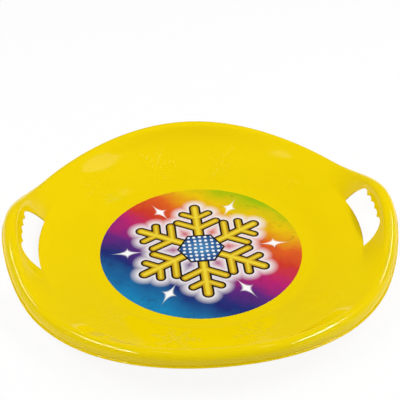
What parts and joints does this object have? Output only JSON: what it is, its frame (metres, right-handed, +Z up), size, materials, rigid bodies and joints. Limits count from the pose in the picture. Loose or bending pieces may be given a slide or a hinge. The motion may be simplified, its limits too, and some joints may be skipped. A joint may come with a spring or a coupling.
{
  "type": "saucer sled",
  "caption": "Round moulded snow saucer with a rolled wavy rim, raised ears with grip slots for the hands, and a printed sticker on its flat floor.",
  "frame": {"origin": "middle of the flat underside, on the ground that the sled rests on", "axes": "+X across the two grip ears, -Y to the front, +Z up out of the dish"},
  "size_m": [0.6, 0.5888, 0.0839],
  "materials": {
    "shell": "moulded gloss",
    "print": "printed film, satin gloss"
  },
  "bodies": {
    "root": {"dish": "shell", "sticker": "print"}
  },
  "joints": []
}
